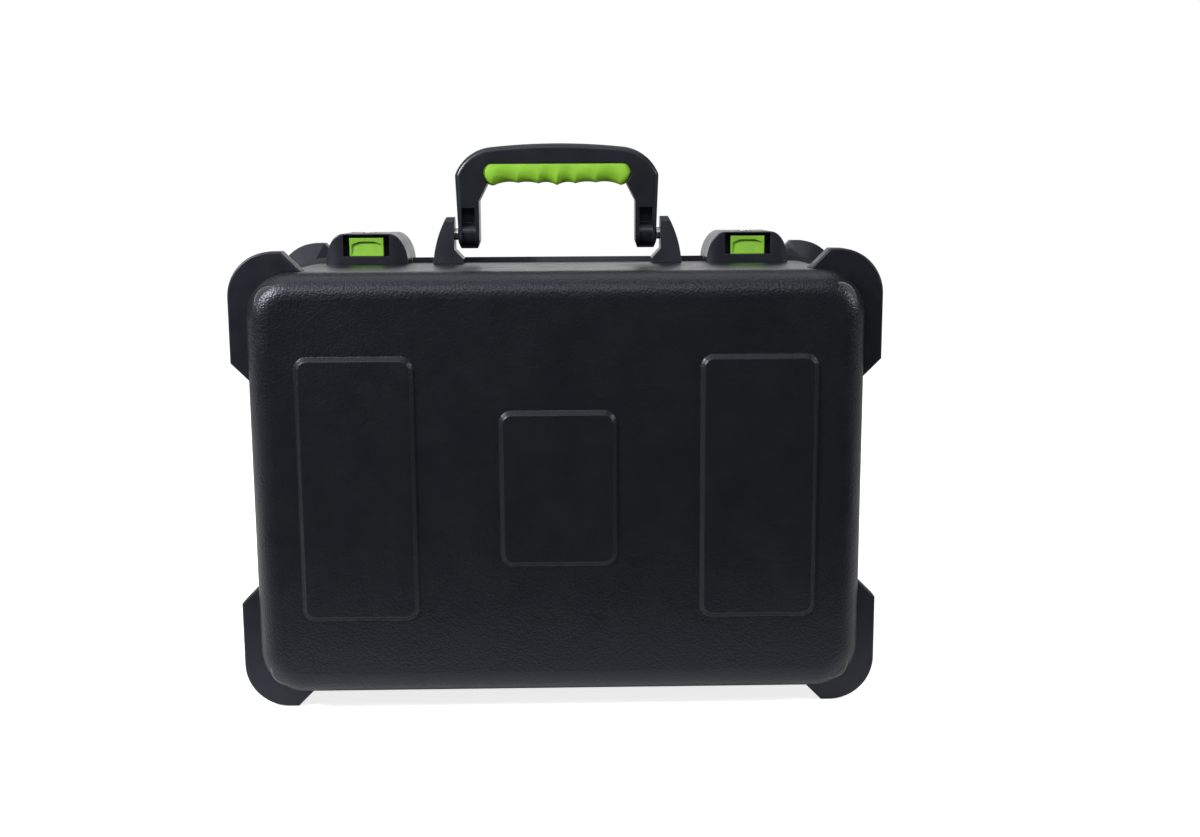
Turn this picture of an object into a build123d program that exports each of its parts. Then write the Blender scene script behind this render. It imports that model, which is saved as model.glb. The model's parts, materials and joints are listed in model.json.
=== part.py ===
from build123d import *
from math import atan2, degrees, sqrt
import os

# A hard case for microphones, standing on its corner bumpers with the handle up.
# Millimetres. +Z is up, +X is to the right of someone who faces the base half, and
# -Y points at them. The origin is the centre of the floor under the bumpers.

# Shells
BODY_WIDTH = 432.0
BODY_HEIGHT = 303.0
BASE_DEPTH = 149.5
LID_DEPTH = 81.5
CORNER_RADIUS = 32.0
EDGE_RADIUS = 18.0
WALL = 3.5
SEAM_GAP = 0.8

# Raised panels on both outer faces
PANEL_PROUD = 3.0
PANEL_SLOPE = 45.0
PANEL_RADIUS = 9.0
PANEL_ROUNDING = 1.3
SIDE_PANEL_WIDTH = 82.0
SIDE_PANEL_HEIGHT = 188.0
SIDE_PANEL_FROM_END = 75.5
CENTRE_PANEL_WIDTH = 82.0
CENTRE_PANEL_HEIGHT = 111.0

# Rims: tongue on the base, groove and seal in the lid
RIM_LINING = 4.0
RIM_DEPTH = 10.0
TONGUE_THICK = 2.0
TONGUE_LENGTH = 3.4
TONGUE_SET_IN = 1.4
GROOVE_CLEARANCE = 0.6
GROOVE_LIP = 1.5
FLANGE_PROUD = 3.8
FLANGE_THICK = 3.0
SEAL_THICK = 1.3
SEAL_CLEARANCE = 0.3

# Corner bumpers
BUMPER_PROUD = 14.0
BUMPER_ALONG_TOP = 38.0
BUMPER_ALONG_SIDE = 78.0
BUMPER_RADIUS = 32.0
BUMPER_INSET = 21.1
BUMPER_CREST = 14.5
BUMPER_RAMP = 12.0
BUMPER_ROUNDING = 1.6

# Screws and rivets
SCREW_RADIUS = 1.9
SCREW_HEAD_RADIUS = 3.5
SCREW_HEAD_THICK = 2.0
SCREW_HEAD_ROUNDING = 0.7
SCREW_BITE = 9.0
CROSS_LENGTH = 3.5
CROSS_WIDTH = 0.7
CROSS_DEPTH = 1.0
HOLE_CLEARANCE = 0.1
BUMPER_SCREW_DOWN = 52.0
RIVET_RADIUS = 2.0
RIVET_HEAD_RADIUS = 3.6
RIVET_HEAD_THICK = 1.2
RIVET_HEAD_ROUNDING = 0.6

# Foam
FOAM_SIDE_GAP = 5.0
FLOOR_PAD = 15.0
BLOCK_BELOW_SEAM = 6.0
LID_FOAM = 30.0
FOAM_EDGE_RADIUS = 10.0
DROP_COLUMNS = 5
DROP_ROWS = 3
DROP_SIZE = 48.0
DROP_RADIUS = 8.0
DROP_PITCH_X = 74.0
DROP_PITCH_Z = 64.0
BAY_HEIGHT = 56.0
BAY_GAP = 18.0

# Hinges under the case
HINGE_FROM_END = 106.0
HINGE_WIDTH = 60.0
HINGE_DROP = 6.0
HINGE_LEAF = 26.0
HINGE_LEAF_THICK = 2.0
HINGE_PIN_RADIUS = 2.0
KNUCKLE_RADIUS = 4.5
KNUCKLES = 5
RIVETS_PER_LEAF = 3
RIVET_PITCH = 20.0
RIVET_FROM_SEAM = 18.0

# Handle
PIVOT_ABOVE_BODY = 22.4
PIVOT_BEFORE_SEAM = 18.0
PIVOT_PIN_RADIUS = 2.5
PIVOT_BOSS_RADIUS = 4.5
PIVOT_GAP = 3.0
PIN_END_WALL = 2.0
ARM_OUTER = 76.3
ARM_WIDTH = 16.5
SHOULDER_OUTER = 77.9
SHOULDER_HEIGHT = 44.9
SHOULDER_RADIUS = 5.0
SHOULDER_BULGE_OUT = 2.6
SHOULDER_BULGE_UP = 4.2
DRAFT_ABOVE_BOSS = 1.0
ARM_TOE = 2.0
ARM_TOE_HEIGHT = 6.0
HANDLE_HEIGHT = 68.4
HANDLE_SHOULDER_FLAT = 50.0
HANDLE_CROWN = 2.6
HANDLE_THICK = 22.0
HANDLE_ROUNDING = 4.0
KNUCKLE_SEEN_RADIUS = 9.5
POCKET_WIDTH = 10.2
POCKET_LOW = 6.0
POCKET_HEIGHT = 14.0
POCKET_DEPTH = 7.0
ARM_SPLAY_HEIGHT = 25.6
GRIP_HALF = 56.5
GRIP_TOP = 53.4
GRIP_BOTTOM = 39.9
GRIP_INSET = 0.5
GRIP_WALL = 4.0
GRIP_CORE_DROP = 8.5
GRIP_HAUNCH = 4.0
GRIP_CORNER = 6.5
GRIP_CORNER_BULGE_IN = 1.9
GRIP_CORNER_BULGE_DOWN = 2.0
FINGER_RIDGES = (0.0, 14.3, 30.0)
RIDGE_DEPTHS = (2.9, 1.6, 1.0)
RIDGE_SAGS = (1.6, 1.0, 1.6)
GRIP_LOBE_X = 49.0
GRIP_LOBE_DROP = 3.0
GRIP_LOBE_BULGE_IN = 1.4
GRIP_LOBE_BULGE_DOWN = 6.0

# Handle mounts
HORN_HEIGHT = 35.5
HORN_TOP = 6.0
HORN_FOOT = 16.0
HORN_FLARE = 6.7
HORN_FLARE_HEIGHT = 11.0
HORN_TOE_HEIGHT = 3.7
HORN_BULGE_OUT = 7.2
HORN_BULGE_UP = 17.7
HORN_DEPTH = 26.0
HORN_TOP_DEPTH = 14.0
HORN_CREST_RADIUS = 4.7
BACKPLATE_WIDTH = 26.0
BACKPLATE_DEPTH = 19.0
BACKPLATE_THICK = 1.5
BACKPLATE_BEHIND = 6.0
HORN_SCREW_PITCH = 10.0

# Latches
LATCH_FROM_END = 69.5
LATCH_HEIGHT = 23.4
LATCH_TOP_HALF = 17.4
LATCH_END = 14.0
LATCH_FRONT = 30.0
LATCH_REAR = 28.0
LATCH_BOW = 3.5
LATCH_BOW_SAG = 1.0
LATCH_CHEEK = 1.0
LATCH_ROUNDING = 1.0
LATCH_SCREW_X = 24.0
HOUSING_SCREW_BACK = 8.0
BRACKET_SCREW_BACK = 14.0
WINDOW_WIDTH = 35.3
WINDOW_LOW = 6.0
WINDOW_LIP = 1.0
WINDOW_DEPTH = 10.6
BUTTON_WIDTH = 26.0
BUTTON_HEIGHT = 13.8
BUTTON_RECESS = 2.0
BUTTON_THICK = 5.0
BUTTON_LEDGE = 3.2
BUTTON_LEDGE_TILT = 0.6
BUTTON_SCOOP = 1.9
BUTTON_CHEEK = 1.6
BUTTON_ARCH_RISE = 1.0
BUTTON_ARCH_DROP = 2.0
BUTTON_TRAVEL = 3.0
STEM_WIDTH = 8.0
STEM_HEIGHT = 3.6
STEM_LENGTH = 13.0
SLIDE_CLEARANCE = 0.3
SPRING_RADIUS = 1.6
SPRING_WIRE = 0.25
SPRING_TURNS = 6
SPRING_POCKET_RADIUS = 2.2
SPRING_LENGTH = 7.6
HASP_WIDTH = 30.0
HASP_CLEARANCE = 0.4
HASP_REACH = 13.6
HASP_NOSE = 11.4
HASP_PIN_RADIUS = 1.5
HASP_PIN_BACK = 22.0
HASP_PIN_ABOVE = 5.8
HASP_KNUCKLE_RADIUS = 5.0
HASP_TAIL = 3.0
BRACKET_FLOOR = 3.0
BRACKET_FLOOR_DEPTH = 15.6
LOCK_RADIUS = 5.5
LOCK_BACK = 6.0
LOCK_DEPTH = 9.0
LOCK_PROUD = 0.6
KEYWAY_WIDTH = 1.2
KEYWAY_LENGTH = 6.5
KEYWAY_DEPTH = 3.0

# Fits
RUNNING_FIT = 0.06
TIGHT_FIT = 0.02

# How far a cut runs past a face, how far joined solids reach into each other, and how near
# two places are that count as one
PAST = 1.0
JOIN = 0.1
SAME = 0.01

# Places worked out from the sizes
BASE_FACE = -(BASE_DEPTH + LID_DEPTH) / 2
SEAM = BASE_FACE + BASE_DEPTH
LID_FACE = -BASE_FACE
BASE_EDGE = SEAM - SEAM_GAP / 2
LID_EDGE = SEAM + SEAM_GAP / 2
BODY_BOTTOM = BUMPER_PROUD
BODY_TOP = BODY_BOTTOM + BODY_HEIGHT
BODY_MIDDLE = BODY_BOTTOM + BODY_HEIGHT / 2
HALF_WIDTH = BODY_WIDTH / 2
SIDE_PANEL_X = HALF_WIDTH - SIDE_PANEL_FROM_END
HINGE_X = HALF_WIDTH - HINGE_FROM_END
LATCH_X = HALF_WIDTH - LATCH_FROM_END
CEILING = BODY_TOP - WALL
THROUGH_WALL = 3 * WALL
FOAM_INSET = WALL + FOAM_SIDE_GAP
BLOCK_FACE = SEAM - BLOCK_BELOW_SEAM
PAD_FACE = BASE_FACE + WALL + FLOOR_PAD
HINGE_Z = BODY_BOTTOM - HINGE_DROP
PIVOT_Y = SEAM - PIVOT_BEFORE_SEAM
PIVOT_Z = BODY_TOP + PIVOT_ABOVE_BODY
ARM_INNER = ARM_OUTER - ARM_WIDTH
HORN_INNER = ARM_OUTER + PIVOT_GAP
HOUSING_FRONT = SEAM - LATCH_FRONT
BRACKET_BACK = SEAM + LATCH_REAR
LATCH_TOP = BODY_TOP + LATCH_HEIGHT
WINDOW_BOTTOM = BODY_TOP + WINDOW_LOW
WINDOW_TOP = LATCH_TOP - WINDOW_LIP
WINDOW_BACK = HOUSING_FRONT + WINDOW_DEPTH
BUTTON_FRONT = HOUSING_FRONT + BUTTON_RECESS
BUTTON_BACK = BUTTON_FRONT + BUTTON_THICK
BUTTON_BOTTOM = WINDOW_BOTTOM + SLIDE_CLEARANCE
BUTTON_TOP = BUTTON_BOTTOM + BUTTON_HEIGHT
STEM_MIDDLE = BUTTON_BOTTOM + STEM_HEIGHT / 2
STEM_END = BUTTON_BACK + STEM_LENGTH
SPRING_END = STEM_END + SPRING_LENGTH
HASP_FRONT = SEAM - HASP_REACH
HASP_UNDER = LATCH_TOP - HASP_NOSE
HASP_PIN_Y = SEAM + HASP_PIN_BACK
HASP_PIN_Z = BODY_TOP + HASP_PIN_ABOVE
HASP_PIN_HALF = HASP_WIDTH / 2 + HASP_CLEARANCE + LATCH_END / 2
LOCK_Y = SEAM - LOCK_BACK
SIDES = {"left": -1, "right": 1}
LEVELS = {"bottom": -1, "top": 1}


# Helpers: a flat shape given in two axes, drawn out along the third

def along_x(shape, start, end):
    return extrude(Plane.YZ.offset(start) * shape, amount=end - start, dir=(1, 0, 0))


def along_y(shape, start, end):
    return extrude(Plane.XZ.offset(-start) * shape, amount=end - start, dir=(0, 1, 0))


def along_z(shape, start, end):
    return extrude(Plane.XY.offset(start) * shape, amount=end - start, dir=(0, 0, 1))


def block(x, y, z):
    size = [high - low for low, high in (x, y, z)]
    centre = [(high + low) / 2 for low, high in (x, y, z)]
    return Pos(*centre) * Box(*size)


def rod_x(radius, start, end, y, z):
    return along_x(Pos(y, z) * Circle(radius), start, end)


def closed(*lines):
    return make_face(Curve() + list(lines))


def mirrored(solid, side):
    return solid if side > 0 else mirror(solid, about=Plane.YZ)


def body_outline(inset):
    width = BODY_WIDTH - 2 * inset
    height = BODY_HEIGHT - 2 * inset
    return Pos(0, BODY_MIDDLE) * RectangleRounded(width, height, CORNER_RADIUS - inset)


def ring(outer_inset, inner_inset, start, end):
    return along_y(body_outline(outer_inset) - body_outline(inner_inset), start, end)


def screw_hole(plane, radius, length):
    return plane * Pos(0, 0, length / 2) * Cylinder(radius, length)


def drilled(solid, planes, radius, length):
    for plane in planes:
        solid -= screw_hole(plane, radius, length)
    return solid


def screw(plane, length):
    head = Pos(0, 0, -SCREW_HEAD_THICK / 2) * Cylinder(SCREW_HEAD_RADIUS, SCREW_HEAD_THICK)
    head = fillet(head.edges().sort_by(Axis.Z)[0], SCREW_HEAD_ROUNDING)
    shank = Pos(0, 0, length / 2) * Cylinder(SCREW_RADIUS, length)
    cross = Box(CROSS_LENGTH, CROSS_WIDTH, 2 * CROSS_DEPTH)
    cross += Box(CROSS_WIDTH, CROSS_LENGTH, 2 * CROSS_DEPTH)
    socket = Pos(0, 0, -SCREW_HEAD_THICK) * cross
    return plane * (head + shank - socket)


def rivet(plane, grip):
    head = Pos(0, 0, -RIVET_HEAD_THICK / 2) * Cylinder(RIVET_HEAD_RADIUS, RIVET_HEAD_THICK)
    head = fillet(head.edges().sort_by(Axis.Z)[0], RIVET_HEAD_ROUNDING)
    shank = Pos(0, 0, grip / 2) * Cylinder(RIVET_RADIUS, grip)
    tail = Pos(0, 0, grip + RIVET_HEAD_THICK / 2) * Cylinder(RIVET_HEAD_RADIUS, RIVET_HEAD_THICK)
    return plane * (head + shank + tail)


# Where the fasteners go: each plane sits on the face that the head bears on, z along the shank

def bumper_screw_planes(side, level, y):
    reach = CORNER_RADIUS - WALL
    sag = reach - sqrt(reach**2 - SCREW_HEAD_RADIUS**2)
    diagonal = (reach - sag) / sqrt(2)
    corner_x = HALF_WIDTH - CORNER_RADIUS + diagonal
    corner_z = BODY_HEIGHT / 2 - CORNER_RADIUS + diagonal
    corner = (side * corner_x, y, BODY_MIDDLE + level * corner_z)
    side_z = BODY_MIDDLE + level * (BODY_HEIGHT / 2 - BUMPER_SCREW_DOWN)
    wall = (side * (HALF_WIDTH - WALL), y, side_z)
    return [Plane(corner, z_dir=(side, 0, level)), Plane(wall, z_dir=(side, 0, 0))]


def all_bumper_screw_planes(y):
    planes = []
    for side in SIDES.values():
        for level in LEVELS.values():
            planes += bumper_screw_planes(side, level, y)
    return planes


def upward_planes(x_places, y_places, z):
    return [Plane((x, y, z), z_dir=(0, 0, 1)) for x in x_places for y in y_places]


def latch_screw_planes(side, y):
    places = [side * LATCH_X - LATCH_SCREW_X, side * LATCH_X + LATCH_SCREW_X]
    return upward_planes(places, [y], CEILING)


def horn_screw_planes(side):
    middle = HORN_INNER + (HORN_FOOT - HORN_FLARE) / 2
    first = backplate_middle() - HORN_SCREW_PITCH / 2
    places = [first, first + HORN_SCREW_PITCH]
    return upward_planes([side * middle], places, CEILING - BACKPLATE_THICK)


def backplate_middle():
    return PIVOT_Y + BACKPLATE_BEHIND - BACKPLATE_DEPTH / 2


def rivet_planes(y):
    planes = []
    for side in SIDES.values():
        for number in range(RIVETS_PER_LEAF):
            offset = (number - (RIVETS_PER_LEAF - 1) / 2) * RIVET_PITCH
            place = (side * HINGE_X + offset, y, BODY_BOTTOM - HINGE_LEAF_THICK)
            planes.append(Plane(place, z_dir=(0, 0, 1)))
    return planes


BASE_BUMPER_Y = BASE_FACE + BUMPER_INSET + BUMPER_CREST / 2
LID_BUMPER_Y = LID_FACE - BUMPER_INSET - BUMPER_CREST / 2
HOUSING_SCREW_Y = HOUSING_FRONT + HOUSING_SCREW_BACK
BRACKET_SCREW_Y = SEAM + BRACKET_SCREW_BACK
BASE_RIVET_Y = SEAM - RIVET_FROM_SEAM
LID_RIVET_Y = SEAM + RIVET_FROM_SEAM


# Shells

def raised_panels(outward):
    outlines = [Pos(0, BODY_MIDDLE) * RectangleRounded(CENTRE_PANEL_WIDTH, CENTRE_PANEL_HEIGHT, PANEL_RADIUS)]
    for side in SIDES.values():
        outline = RectangleRounded(SIDE_PANEL_WIDTH, SIDE_PANEL_HEIGHT, PANEL_RADIUS)
        outlines.append(Pos(side * SIDE_PANEL_X, BODY_MIDDLE) * outline)
    panels = []
    for outline in outlines:
        panel = extrude(Plane.XZ.offset(-BASE_FACE) * outline, amount=PANEL_PROUD, taper=PANEL_SLOPE)
        panel += along_y(outline, BASE_FACE, BASE_FACE + WALL / 2)
        panels.append(panel if outward < 0 else mirror(panel, about=Plane.XZ))
    return panels


def faces_at(solid, y):
    return [face for face in solid.faces().filter_by(Axis.Y) if abs(face.center().Y - y) < SAME]


def shell(face_y, edge_y):
    outward = 1 if face_y > edge_y else -1
    low, high = min(face_y, edge_y), max(face_y, edge_y)
    outer = along_y(body_outline(0), low, high)
    end = outer.faces().sort_by(Axis.Y)[-1 if outward > 0 else 0]
    outer = fillet(end.edges(), EDGE_RADIUS)

    floor_y = face_y - outward * WALL
    mouth_y = edge_y - outward * PAST
    inner = along_y(body_outline(WALL), min(floor_y, mouth_y), max(floor_y, mouth_y))
    end = inner.faces().sort_by(Axis.Y)[-1 if outward > 0 else 0]
    inner = fillet(end.edges(), EDGE_RADIUS - WALL)

    for panel in raised_panels(outward):
        outer += panel
    crest_y = face_y + outward * PANEL_PROUD
    crests = faces_at(outer, crest_y)
    outer = fillet([edge for face in crests for edge in face.edges()], PANEL_ROUNDING)
    plain = faces_at(outer, face_y)[0]
    outer = fillet([edge for wire in plain.inner_wires() for edge in wire.edges()], PANEL_ROUNDING)
    return outer - inner


def base_shell():
    solid = shell(BASE_FACE, BASE_EDGE)
    screws = all_bumper_screw_planes(BASE_BUMPER_Y)
    for side in SIDES.values():
        screws += latch_screw_planes(side, HOUSING_SCREW_Y) + horn_screw_planes(side)
    solid = drilled(solid, screws, SCREW_RADIUS + HOLE_CLEARANCE, THROUGH_WALL)
    return drilled(solid, rivet_planes(BASE_RIVET_Y), RIVET_RADIUS + HOLE_CLEARANCE, THROUGH_WALL)


def lid_shell():
    solid = shell(LID_FACE, LID_EDGE + FLANGE_THICK)
    screws = all_bumper_screw_planes(LID_BUMPER_Y)
    for side in SIDES.values():
        screws += latch_screw_planes(side, BRACKET_SCREW_Y)
    solid = drilled(solid, screws, SCREW_RADIUS + HOLE_CLEARANCE, THROUGH_WALL)
    return drilled(solid, rivet_planes(LID_RIVET_Y), RIVET_RADIUS + HOLE_CLEARANCE, THROUGH_WALL)


# Rims and seal

TONGUE_OUTER = WALL + TONGUE_SET_IN
TONGUE_INNER = TONGUE_OUTER + TONGUE_THICK
GROOVE_OUTER = TONGUE_OUTER - GROOVE_CLEARANCE
GROOVE_INNER = TONGUE_INNER + GROOVE_CLEARANCE
TONGUE_END = BASE_EDGE + TONGUE_LENGTH
GROOVE_END = TONGUE_END + SEAL_CLEARANCE + SEAL_THICK


def base_rim():
    lining = ring(WALL, WALL + RIM_LINING, BASE_EDGE - RIM_DEPTH, BASE_EDGE)
    tongue = ring(TONGUE_OUTER, TONGUE_INNER, BASE_EDGE - JOIN, TONGUE_END)
    return lining + tongue


def lid_rim():
    solid = ring(WALL, GROOVE_INNER + GROOVE_LIP, LID_EDGE, LID_EDGE + RIM_DEPTH)
    solid += ring(-FLANGE_PROUD, WALL + JOIN, LID_EDGE, LID_EDGE + FLANGE_THICK)
    solid -= ring(GROOVE_OUTER, GROOVE_INNER, LID_EDGE - PAST, GROOVE_END)
    across = (LID_EDGE - PAST, LID_EDGE + FLANGE_THICK + PAST)
    latch_half = LATCH_TOP_HALF + LATCH_END + SLIDE_CLEARANCE
    hinge_half = HINGE_WIDTH / 2 + SLIDE_CLEARANCE
    for side in SIDES.values():
        latch_x = (side * LATCH_X - latch_half, side * LATCH_X + latch_half)
        solid -= block(latch_x, across, (BODY_TOP, BODY_TOP + FLANGE_PROUD + PAST))
        hinge_x = (side * HINGE_X - hinge_half, side * HINGE_X + hinge_half)
        solid -= block(hinge_x, across, (BODY_BOTTOM - FLANGE_PROUD - PAST, BODY_BOTTOM))
    return solid


def lid_seal():
    return ring(GROOVE_OUTER, GROOVE_INNER, GROOVE_END - SEAL_THICK, GROOVE_END)


# Corner bumpers. Both ends of the outline slope at 45 degrees, down to well inside the body

def bumper_outline():
    top = BODY_TOP + BUMPER_PROUD
    outer = HALF_WIDTH + BUMPER_PROUD
    under = 2 * BUMPER_PROUD
    crest_x = outer - BUMPER_ALONG_TOP
    crest_z = top - BUMPER_ALONG_SIDE
    shape = Polygon(
        (outer - under, crest_z - under),
        (outer, crest_z),
        (outer, top),
        (crest_x, top),
        (crest_x - under, top - under),
        align=None,
    )
    corner = shape.vertices().sort_by(Axis.X)[-2:].sort_by(Axis.Y)[-1]
    return fillet(corner, BUMPER_RADIUS)


def bumper_block():
    outline = bumper_outline()
    outer_y = LID_FACE - BUMPER_INSET
    crest_y = outer_y - BUMPER_CREST
    slope = degrees(atan2(BUMPER_PROUD, BUMPER_RAMP))
    crest = along_y(outline, crest_y, outer_y)
    ramp = extrude(Plane.XZ.offset(-crest_y) * outline, amount=BUMPER_RAMP, taper=slope)
    solid = crest + ramp
    back = solid.faces().sort_by(Axis.Y)[-1]
    return fillet(back.edges(), BUMPER_ROUNDING)


def bumper(side, level, is_base):
    body = along_y(body_outline(0), LID_FACE - LID_DEPTH, LID_FACE)
    solid = bumper_block() - body
    solid = drilled(solid, bumper_screw_planes(1, 1, LID_BUMPER_Y), SCREW_RADIUS, WALL + SCREW_BITE)
    if side < 0:
        solid = mirror(solid, about=Plane.YZ)
    if level < 0:
        solid = mirror(solid, about=Plane.XY.offset(BODY_MIDDLE))
    if is_base:
        solid = mirror(solid, about=Plane.XZ)
    return solid


def bumper_screws(y):
    return [screw(plane, WALL + SCREW_BITE) for plane in all_bumper_screw_planes(y)]


# Foam

def foam_outline():
    return body_outline(FOAM_INSET)


def foam_pad(face_y, depth):
    inward = -1 if face_y > 0 else 1
    wall_y = face_y + inward * WALL
    end_y = wall_y + inward * depth
    solid = along_y(foam_outline(), min(wall_y, end_y), max(wall_y, end_y))
    back = solid.faces().sort_by(Axis.Y)[0 if inward > 0 else -1]
    return fillet(back.edges(), FOAM_EDGE_RADIUS)


def drop_places():
    width = (DROP_COLUMNS - 1) * DROP_PITCH_X
    tall = (DROP_ROWS - 1) * DROP_PITCH_Z + DROP_SIZE + BAY_GAP + BAY_HEIGHT
    low = BODY_MIDDLE - tall / 2 + DROP_SIZE / 2
    columns = [-width / 2 + number * DROP_PITCH_X for number in range(DROP_COLUMNS)]
    rows = [low + number * DROP_PITCH_Z for number in range(DROP_ROWS)]
    return [(x, z) for z in rows for x in columns]


def bay_place():
    top_row = drop_places()[-1][1]
    width = (DROP_COLUMNS - 1) * DROP_PITCH_X + DROP_SIZE
    return (0, top_row + DROP_SIZE / 2 + BAY_GAP + BAY_HEIGHT / 2), (width, BAY_HEIGHT)


def base_foam_block():
    outline = foam_outline()
    for place in drop_places():
        outline -= Pos(*place) * RectangleRounded(DROP_SIZE, DROP_SIZE, DROP_RADIUS)
    middle, size = bay_place()
    outline -= Pos(*middle) * RectangleRounded(*size, DROP_RADIUS)
    return along_y(outline, PAD_FACE, BLOCK_FACE)


# Hinges: knuckle 0 and every other one belong to the base

def knuckle_span(side, number):
    pitch = HINGE_WIDTH / KNUCKLES
    start = side * HINGE_X - HINGE_WIDTH / 2 + number * pitch
    return start + SLIDE_CLEARANCE / 2, start + pitch - SLIDE_CLEARANCE / 2


def hinge_leaf(side, is_base):
    back = -1 if is_base else 1
    first = 0 if is_base else 1
    bore = HINGE_PIN_RADIUS + (TIGHT_FIT if is_base else RUNNING_FIT)
    leaf_x = (side * HINGE_X - HINGE_WIDTH / 2, side * HINGE_X + HINGE_WIDTH / 2)
    near = SEAM + back * (KNUCKLE_RADIUS + 2 * SLIDE_CLEARANCE)
    far = SEAM + back * HINGE_LEAF
    leaf_z = (BODY_BOTTOM - HINGE_LEAF_THICK, BODY_BOTTOM)
    solid = block(leaf_x, (min(near, far), max(near, far)), leaf_z)
    corners = solid.edges().filter_by(Axis.Z).sort_by(Axis.Y)
    solid = fillet(corners[:2] if is_base else corners[-2:], HINGE_LEAF_THICK)
    edge = SEAM + back * SEAM_GAP / 2
    for number in range(first, KNUCKLES, 2):
        start, end = knuckle_span(side, number)
        solid += rod_x(KNUCKLE_RADIUS, start, end, SEAM, HINGE_Z)
        solid += block((start, end), (min(edge, near), max(edge, near)), leaf_z)
        curl = SEAM + back * KNUCKLE_RADIUS
        solid += block((start, end), (min(edge, curl), max(edge, curl)), (HINGE_Z, BODY_BOTTOM))
    solid -= rod_x(bore, leaf_x[0], leaf_x[1], SEAM, HINGE_Z)
    planes = rivet_planes(BASE_RIVET_Y if is_base else LID_RIVET_Y)
    return drilled(solid, planes, RIVET_RADIUS + HOLE_CLEARANCE, 2 * HINGE_LEAF_THICK)


def hinge_pin(side):
    half = HINGE_WIDTH / 2
    return rod_x(HINGE_PIN_RADIUS, side * HINGE_X - half, side * HINGE_X + half, SEAM, HINGE_Z)


def hinge_rivets(y):
    return [rivet(plane, HINGE_LEAF_THICK + WALL) for plane in rivet_planes(y)]


# Handle mounts and pivot pins

def horn():
    foot = HORN_INNER - HORN_FLARE
    outer = HORN_INNER + HORN_FOOT
    crest = HORN_INNER + HORN_TOP
    top = BODY_TOP + HORN_HEIGHT
    flare_top = BODY_TOP + HORN_FLARE_HEIGHT
    toe_top = BODY_TOP + HORN_TOE_HEIGHT
    bulge = (crest + HORN_BULGE_OUT, BODY_TOP + HORN_BULGE_UP)
    front = closed(
        Line((foot, BODY_TOP), (outer, BODY_TOP)),
        ThreePointArc((outer, BODY_TOP), bulge, (crest, top)),
        Line((crest, top), (HORN_INNER, top)),
        Line((HORN_INNER, top), (HORN_INNER, flare_top)),
        Line((HORN_INNER, flare_top), (foot, toe_top)),
        Line((foot, toe_top), (foot, BODY_TOP)),
    )
    beside = Polygon(
        (PIVOT_Y - HORN_DEPTH / 2, BODY_TOP),
        (PIVOT_Y + HORN_DEPTH / 2, BODY_TOP),
        (PIVOT_Y + HORN_TOP_DEPTH / 2, top),
        (PIVOT_Y - HORN_TOP_DEPTH / 2, top),
        align=None,
    )
    beside = fillet(beside.vertices().sort_by(Axis.Y)[-2:], HORN_CREST_RADIUS)
    solid = along_y(front, PIVOT_Y - HORN_DEPTH / 2, PIVOT_Y + HORN_DEPTH / 2)
    return solid & along_x(beside, foot, outer)


def handle_mount(side):
    solid = mirrored(horn(), side)
    start, end = sorted((side * HORN_INNER, side * (HORN_INNER + HORN_TOP)))
    solid -= rod_x(PIVOT_PIN_RADIUS, start, end, PIVOT_Y, PIVOT_Z)
    return drilled(solid, horn_screw_planes(side), SCREW_RADIUS, BACKPLATE_THICK + WALL + SCREW_BITE)


def handle_backplate(side):
    middle = side * (HORN_INNER + (HORN_FOOT - HORN_FLARE) / 2)
    half = BACKPLATE_WIDTH / 2
    y = (backplate_middle() - BACKPLATE_DEPTH / 2, backplate_middle() + BACKPLATE_DEPTH / 2)
    solid = block((middle - half, middle + half), y, (CEILING - BACKPLATE_THICK, CEILING))
    solid = fillet(solid.edges().filter_by(Axis.Z), 2 * BACKPLATE_THICK)
    return drilled(solid, horn_screw_planes(side), SCREW_RADIUS + HOLE_CLEARANCE, 2 * BACKPLATE_THICK)


def handle_mount_screws():
    planes = horn_screw_planes(-1) + horn_screw_planes(1)
    return [screw(plane, BACKPLATE_THICK + WALL + SCREW_BITE) for plane in planes]


def handle_pivot_pin(side):
    start = ARM_INNER + PIN_END_WALL
    pin = rod_x(PIVOT_PIN_RADIUS, start, HORN_INNER + HORN_TOP, PIVOT_Y, PIVOT_Z)
    boss = rod_x(PIVOT_BOSS_RADIUS, ARM_OUTER + SLIDE_CLEARANCE, HORN_INNER, PIVOT_Y, PIVOT_Z)
    return mirrored(pin + boss, side)


# Handle

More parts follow.
